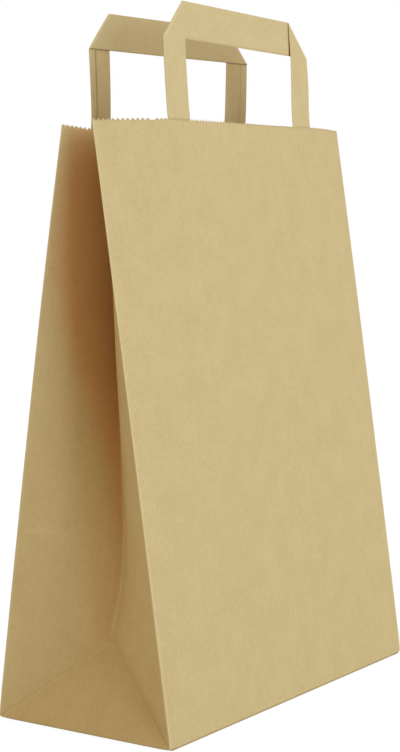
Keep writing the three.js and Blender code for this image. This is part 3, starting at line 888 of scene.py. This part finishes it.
def tape_marks(tape, panel, strip):
    """Marks on a tape: folds and a leg's edges are paler, partly wear and partly painted highlight, and
    the lap and the bar's low edge are darker with painted shade. The lap's painted shade is weak on the
    right leg, where the lap is shut."""
    fold_reach, edge_reach = 0.0006, 0.0004
    low_shade = 0.4 if panel.side > 0 else 0.2
    shut_share, edge_wear_and_highlight = 0.2, 0.5
    fold = ridge(strip.fold, fold_reach)
    edge = ridge(np.abs(strip.across) - tape.width / 2, edge_reach)
    # painted shade along the bar's low edge
    low_edge = ridge(strip.across + tape.width / 2, edge_reach) * (1 - strip.on_leg)
    painted_shade_share = np.where(strip.hand > 0, shut_share, 1.0)
    pale = np.maximum(fold, edge_wear_and_highlight * edge * strip.on_leg)
    dark = np.maximum(strip.lap * strip.on_leg * painted_shade_share, low_shade * low_edge)
    return {FOLD_MARK: pale, SHADE_MARK: dark}


def tape_part(form, panel):
    """A flat tape: its section is carried along the folded path, and that flat layout is laid on the
    handle's own curved surface."""
    tape = form.tape
    strip = folded_strip(form, panel)
    inset = form.tape_inset + tape.thickness / 2 + strip.layer
    points = form.handle_point(panel, strip.x, strip.up, inset)
    marks = tape_marks(tape, panel, strip)
    points, across, marks = facing_out(panel, points, strip.across, marks)
    return [sheet_part(points, across, strip.along, marks, 0.0), *tape_ends(points, across)]


def tape_ends(points, across):
    """The two cut ends of a tape, each a strip between the two faces of its section."""
    count = points.shape[1]
    half = count // 2
    index = np.arange(half + 1)
    found = []
    for row, flip in ((points[0], False), (points[-1], True)):
        strip = np.stack([row[index % count], row[(count - 1 - index) % count]])
        if flip:
            strip = strip[::-1]
        found.append(sheet_part(strip, across[:, : half + 1], np.zeros((2, 1))))
    return found


def patch_part(form, panel):
    """The patch over a handle's tails: flat on the panel, and one step further in over each tail, with
    a smooth ramp that is palest half way up."""
    tape, patch = form.tape, form.patch
    half = form.leg_outer + patch.margin
    ramp = patch.ramp
    clear, end_clear, ramp_paling = 0.1 * ramp, 0.2 * ramp, 0.35
    even = np.linspace(-half, half, 61)
    steps = np.linspace(0.0, 1.0, 7)
    climbing = clear + ramp * steps
    beside = np.concatenate([form.leg_outer + climbing, form.leg_inner - climbing])
    across = np.unique(np.round(np.concatenate([even, beside, -beside]), 6))[None, :]
    top = panel.cut - patch.drop
    tail_end = panel.cut - tape.tail
    up = np.unique(np.concatenate([
        np.linspace(top - patch.height, top, 24), tail_end - end_clear - ramp * steps
    ]))[:, None]
    over = np.abs(across)
    on_tail = smooth(form.leg_inner - clear - ramp, form.leg_inner - clear, over)
    on_tail = on_tail * (1 - smooth(form.leg_outer + clear, form.leg_outer + clear + ramp, over))
    on_tail = on_tail * smooth(tail_end - end_clear - ramp, tail_end - end_clear, up)
    inset = form.tape_inset + (tape.thickness + tape.ply + patch.glue) * on_tail
    points = form.panel_point(panel, across, up, inset)
    # paler half way up the ramp
    marks = {FOLD_MARK: ramp_paling * on_tail * (1 - on_tail) * 4}
    points, across, marks = facing_out(panel, points, across, marks)
    return sheet_part(points, across, up, marks)


class Nodes:
    """Adds nodes to a tree and links them by socket name."""

    def __init__(self, tree):
        """Starts with an empty tree."""
        self.tree = tree
        tree.nodes.clear()

    def put(self, value, socket):
        """Links another node's output to a socket, or sets a plain value on it."""
        if isinstance(value, bpy.types.NodeSocket):
            self.tree.links.new(value, socket)
        else:
            socket.default_value = value

    def add(self, kind, settings=None, **inputs):
        """A new node; inputs go by socket name, or by number after an underscore."""
        node = self.tree.nodes.new(kind)
        for name, value in (settings or {}).items():
            setattr(node, name, value)
        for name, value in inputs.items():
            key = int(name[1:]) if name[0] == "_" else name.replace("_", " ")
            self.put(value, node.inputs[key])
        return node

    def mark(self, name):
        """A mark of the piece, as a number."""
        return self.add("ShaderNodeAttribute", {"attribute_name": name}).outputs["Fac"]

    def mix(self, first, second, part, blend="MIX"):
        """A colour between two, or one tinted by the other, by a share that nodes give."""
        node = self.add("ShaderNodeMix", {"data_type": "RGBA", "blend_type": blend})
        for number, value in ((0, part), (6, first), (7, second)):
            self.put(value, node.inputs[number])
        return node.outputs[2]

    def span(self, value, low, high, to_low=0.0, to_high=1.0):
        """A value's range moved to another, and held inside it."""
        node = self.add(
            "ShaderNodeMapRange", Value=value, From_Min=low, From_Max=high, To_Min=to_low, To_Max=to_high
        )
        return node.outputs["Result"]

    def sum(self, first, second, times):
        """The first value and a multiple of the second."""
        node = self.add("ShaderNodeMath", {"operation": "MULTIPLY_ADD"}, _0=second, _1=times, _2=first)
        return node.outputs[0]

    def times(self, first, second):
        """The product of two values."""
        return self.add("ShaderNodeMath", {"operation": "MULTIPLY"}, _0=first, _1=second).outputs[0]

    def near(self, value, middle, reach, strength):
        """A strength at a middle value, falling off straight to nothing at that reach beside it."""
        off = self.add("ShaderNodeMath", {"operation": "SUBTRACT"}, _0=value, _1=middle).outputs[0]
        size = self.add("ShaderNodeMath", {"operation": "ABSOLUTE"}, _0=off).outputs[0]
        return self.span(size, reach, 0.0, 0.0, strength)

    def grain(self, places, stretch, turn, detail):
        """Noise on the paper map: stretch is how many grains fit in a metre across and along."""
        moved = self.add(
            "ShaderNodeMapping", Vector=places, Rotation=(0.0, 0.0, turn), Scale=(*stretch, 1.0)
        )
        noise = self.add(
            "ShaderNodeTexNoise", {"noise_dimensions": "2D"},
            Vector=moved.outputs[0], Scale=1.0, Detail=detail, Roughness=0.55,
        )
        return noise.outputs["Fac"]


def kraft_colours(name, look):
    """The look's three kraft colours, tinted for one paper."""
    shades = {"kraft": look.kraft, "pale": look.pale, "brown": look.brown}
    tint = TINTS[name]
    return {key: [c * t for c, t in zip(shade, tint)] + [1.0] for key, shade in shades.items()}


def clouded(nodes, places, noise, colours):
    """The sheet's own colour: layers of clouds, streaks and short crossing fibres, and a dark speck
    in some cells of the paper."""
    body = colours["kraft"]
    for grain, shade, start, full, strength in LAYERS:
        body = nodes.mix(body, colours[shade], nodes.span(noise[grain], start, full, 0.0, strength))
    cells = nodes.add("ShaderNodeTexVoronoi", {"voronoi_dimensions": "2D"}, Vector=places, Scale=330.0)
    chance = nodes.add("ShaderNodeSeparateColor", Color=cells.outputs["Color"]).outputs[0]
    specks = nodes.span(cells.outputs["Distance"], 0.1, 0.03, 0.0, 0.6)
    return nodes.mix(body, colours["brown"], nodes.times(specks, nodes.span(chance, 0.62, 1.0)))


def creases_and_painted_light(nodes, places, clouds, body, pale, look):
    """The colour with its marks: pale folds, partly wear and partly painted highlight, a painted
    highlight line and a painted shade line along a gusset's slants that fade with height, painted
    shade at laps, low edges, the bottom fold and beside the front slants, and a painted warm shade
    deep in a gusset's groove."""
    painted_shade_colour = [*look.painted_shade_colour, 1.0]
    # pale folds and edges: wear and painted highlight
    body = nodes.mix(body, pale, nodes.times(nodes.mark(FOLD_MARK), 0.85))
    slant = nodes.mark(SLANT_MARK)
    up = nodes.add("ShaderNodeSeparateXYZ", Vector=places).outputs[1]
    # a painted highlight and a painted shade line beside each slant crease, fading with height
    faded = nodes.span(clouds, 0.35, 0.65, 0.3, 1.0)
    faded = nodes.times(faded, nodes.span(up, 0.004, 0.04, 1.4, 0.45))
    slant_highlight_line = nodes.near(slant, middle=0.0013, reach=0.0017, strength=0.34)
    slant_shade_line = nodes.near(slant, middle=-0.0004, reach=0.001, strength=0.18)
    body = nodes.mix(body, pale, nodes.times(slant_highlight_line, faded))
    body = nodes.mix(body, painted_shade_colour, nodes.times(slant_shade_line, faded))
    # painted shade from the shade mark: laps, low edges, the bottom fold and beside the front slants
    body = nodes.mix(body, painted_shade_colour, nodes.times(nodes.mark(SHADE_MARK), 0.8))
    # painted warm shade deep in a gusset's groove
    return nodes.mix(body, (*look.groove_shade_colour, 1.0), nodes.mark(GROOVE_SHADE_MARK), "MULTIPLY")


def kraft_material(name, look):
    """Uncoated kraft paper: its clouded colour with the marks of folding, painted highlight and
    painted shade, a finish that is a little uneven, and a fine relief summed from its noises."""
    material = bpy.data.materials.new(name)
    material.use_nodes = True
    nodes = Nodes(material.node_tree)
    colours = kraft_colours(name, look)
    places = nodes.add("ShaderNodeUVMap", {"uv_map": PAPER_MAP}).outputs[0]
    noise = {grain: nodes.grain(places, *values) for grain, values in GRAINS.items()}
    body = clouded(nodes, places, noise, colours)
    body = creases_and_painted_light(nodes, places, noise["clouds"], body, colours["pale"], look)
    relief = 0.0
    for grain, part in RELIEF:
        relief = nodes.sum(relief, noise[grain], part)
    bump = nodes.add("ShaderNodeBump", Strength=0.35, Distance=0.00012, Height=relief)
    rough = nodes.span(noise["clouds"], 0.25, 0.75, look.roughness - 0.05, look.roughness + 0.05)
    shader = nodes.add(
        "ShaderNodeBsdfPrincipled", Base_Color=body, Roughness=rough, Normal=bump.outputs[0],
        Specular_IOR_Level=look.shine,
    )
    nodes.add("ShaderNodeOutputMaterial", Surface=shader.outputs[0])
    return material


def shown_rays(nodes):
    """1 for rays that show a surface as it is: from the camera, or by reflection or glass."""
    path = nodes.add("ShaderNodeLightPath").outputs
    rays = nodes.add(
        "ShaderNodeMath", {"operation": "MAXIMUM"}, _0=path["Is Camera Ray"], _1=path["Is Glossy Ray"]
    )
    return nodes.add(
        "ShaderNodeMath", {"operation": "MAXIMUM"}, _0=rays.outputs[0], _1=path["Is Transmission Ray"]
    ).outputs[0]


def floor_material(stage):
    """A white floor: seen directly, most of its white carries no shadow and the rest does."""
    material = bpy.data.materials.new("white_floor")
    material.use_nodes = True
    nodes = Nodes(material.node_tree)
    part = nodes.times(shown_rays(nodes), stage.floor_glow)
    matt = nodes.add("ShaderNodeBsdfDiffuse", Color=(*stage.floor, 1.0))
    glow = nodes.add("ShaderNodeEmission", Color=FLOOR_WHITE, Strength=FLOOR_STRENGTH)
    surface = nodes.add("ShaderNodeMixShader", _0=part, _1=matt.outputs[0], _2=glow.outputs[0])
    nodes.add("ShaderNodeOutputMaterial", Surface=surface.outputs[0])
    return material


def light_world(stage):
    """White behind the bag, and an even weaker light around it."""
    world = bpy.data.worlds.new("studio")
    world.use_nodes = True
    nodes = Nodes(world.node_tree)
    shown = shown_rays(nodes)
    strength = nodes.span(shown, 0.0, 1.0, stage.ambient, 1.0)
    tint = nodes.mix((*stage.ambient_tint, 1.0), (1.0, 1.0, 1.0, 1.0), shown)
    sky = nodes.add("ShaderNodeBackground", Color=tint, Strength=strength)
    nodes.add("ShaderNodeOutputWorld", Surface=sky.outputs[0])
    bpy.context.scene.world = world


def area_lamp(name, spot, watts, tint):
    """A square soft box that hangs at a spot, turned to the bag's middle."""
    lamp = bpy.data.lights.new(name, "AREA")
    lamp.size = LAMP_SIZE
    lamp.energy = watts
    lamp.color = tint
    thing = bpy.data.objects.new(name, lamp)
    thing.location = spot
    thing.rotation_mode = "QUATERNION"
    thing.rotation_quaternion = (Vector(LAMP_TARGET) - Vector(spot)).to_track_quat("-Z", "Y")
    bpy.context.scene.collection.objects.link(thing)


def stand_camera(scene, stage):
    """A camera at its place, looking along its heading and below level by its pitch."""
    camera = bpy.data.objects.new("camera", bpy.data.cameras.new("camera"))
    camera.location = stage.camera
    ahead = Vector((
        math.cos(stage.heading) * math.cos(stage.pitch),
        math.sin(stage.heading) * math.cos(stage.pitch),
        -math.sin(stage.pitch),
    ))
    camera.rotation_mode = "QUATERNION"
    camera.rotation_quaternion = ahead.to_track_quat("-Z", "Y")
    camera.data.lens = stage.lens
    scene.collection.objects.link(camera)
    scene.camera = camera


class CARRIERBAG_OT_fold_sheet(bpy.types.Operator):
    """Fold the kraft sheet into panels, gussets and a block bottom"""

    bl_idname = "carrier_bag.fold_sheet"
    bl_label = "Fold the Sheet"

    def execute(self, context):
        """Joins the wall, the seam and the flaps as one piece."""
        form = BagForm(context.scene)
        sheet = form.sheet
        paper = kraft_material("kraft_sheet", context.scene.bag_look)
        inset, rear_share, dust_layers = 0.0003, 0.5, 1.2
        end, fold = form.half_width - inset, form.half_depth - inset
        dust_lift = form.base_lift + dust_layers * sheet.thickness
        parts = [
            wall_part(form),
            seam_part(form),
            flap_part(fold, -rear_share * sheet.flap_lap, end, sheet.thickness),
            flap_part(-fold, sheet.flap_lap, end, 0.0),
            end_flap_part(form, -1.0, dust_lift),
            end_flap_part(form, 1.0, dust_lift),
        ]
        bag = paper_object("folded_bag", parts, paper)
        thicken(bag, sheet.thickness)
        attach(bag, "root")
        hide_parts("bag_body")
        return {"FINISHED"}


class CARRIERBAG_OT_fold_handles(bpy.types.Operator):
    """Fold a flat paper tape into the handle of each panel"""

    bl_idname = "carrier_bag.fold_handles"
    bl_label = "Fold the Handles"

    def execute(self, context):
        """Carries the tape along its folded path on each panel."""
        form = BagForm(context.scene)
        paper = kraft_material("handle_tape", context.scene.bag_look)
        for name, panel in form.panels.items():
            handle = paper_object(f"{name}_handle_tape", tape_part(form, panel), paper)
            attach(handle, "root")
            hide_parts(f"{name}_handle")
        return {"FINISHED"}


class CARRIERBAG_OT_glue_patches(bpy.types.Operator):
    """Glue a paper patch over the tails of each handle"""

    bl_idname = "carrier_bag.glue_patches"
    bl_label = "Glue the Patches"

    def execute(self, context):
        """Lays a patch on each panel's inner face and its handle's tails."""
        form = BagForm(context.scene)
        paper = kraft_material("patch_paper", context.scene.bag_look)
        for name, panel in form.panels.items():
            patch = paper_object(f"{name}_patch_sheet", [patch_part(form, panel)], paper)
            thicken(patch, form.sheet.thickness)
            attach(patch, "root")
            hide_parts(f"{name}_handle_patch")
        return {"FINISHED"}


class CARRIERBAG_OT_set_stage(bpy.types.Operator):
    """Set the white floor, the soft light and the camera"""

    bl_idname = "carrier_bag.set_stage"
    bl_label = "Set the Stage"

    def execute(self, context):
        """Lays the floor as a flat grid, hangs the lamps, and stands the camera."""
        scene = context.scene
        stage = scene.bag_stage
        steps = np.linspace(-FLOOR_HALF, FLOOR_HALF, 9)
        x, y = np.meshgrid(steps, steps)
        ground = sheet_part(points_of(x, y, -FLOOR_DROP), x, y)
        floor = paper_object("floor", [ground], floor_material(stage))
        light_world(stage)
        for name in ("key", "back", "top"):
            spot, watts = getattr(stage, f"{name}_place"), getattr(stage, name)
            area_lamp(f"{name}_lamp", spot, watts, stage.lamp_tint)
        stand_camera(scene, stage)
        scene.view_settings.view_transform = "Standard"
        return {"FINISHED"}


SETTINGS = {
    "bag_sheet": SheetSizes,
    "bag_tape": TapeSizes,
    "bag_patch": PatchSizes,
    "bag_look": PaperLook,
    "bag_stage": StageLook,
}
MAKERS = (
    CARRIERBAG_OT_fold_sheet,
    CARRIERBAG_OT_fold_handles,
    CARRIERBAG_OT_glue_patches,
    CARRIERBAG_OT_set_stage,
)


class CARRIERBAG_PT_steps(bpy.types.Panel):
    """The steps that make the bag, with their sizes and colours"""

    bl_idname = "CARRIERBAG_PT_steps"
    bl_label = "Carrier Bag"
    bl_space_type = "VIEW_3D"
    bl_region_type = "UI"
    bl_category = "Carrier Bag"

    def draw(self, context):
        """Lists the steps, then each group of settings in a box."""
        for maker in MAKERS:
            self.layout.operator(maker.bl_idname)
        for group in SETTINGS:
            box = self.layout.box()
            settings = getattr(context.scene, group)
            for name in settings.__annotations__:
                box.prop(settings, name)


CLASSES = (*SETTINGS.values(), *MAKERS, CARRIERBAG_PT_steps)


def register():
    """Registers the classes and hangs the settings on the scene."""
    for each in CLASSES:
        bpy.utils.register_class(each)
    for name, group in SETTINGS.items():
        setattr(bpy.types.Scene, name, PointerProperty(type=group))


def unregister():
    """Takes the settings and the classes away again."""
    for name in SETTINGS:
        delattr(bpy.types.Scene, name)
    for each in reversed(CLASSES):
        bpy.utils.unregister_class(each)


def main():
    register()
    bpy.ops.carrier_bag.fold_sheet()
    bpy.ops.carrier_bag.fold_handles()
    bpy.ops.carrier_bag.glue_patches()
    bpy.ops.carrier_bag.set_stage()


if __name__ == "__main__":
    main()
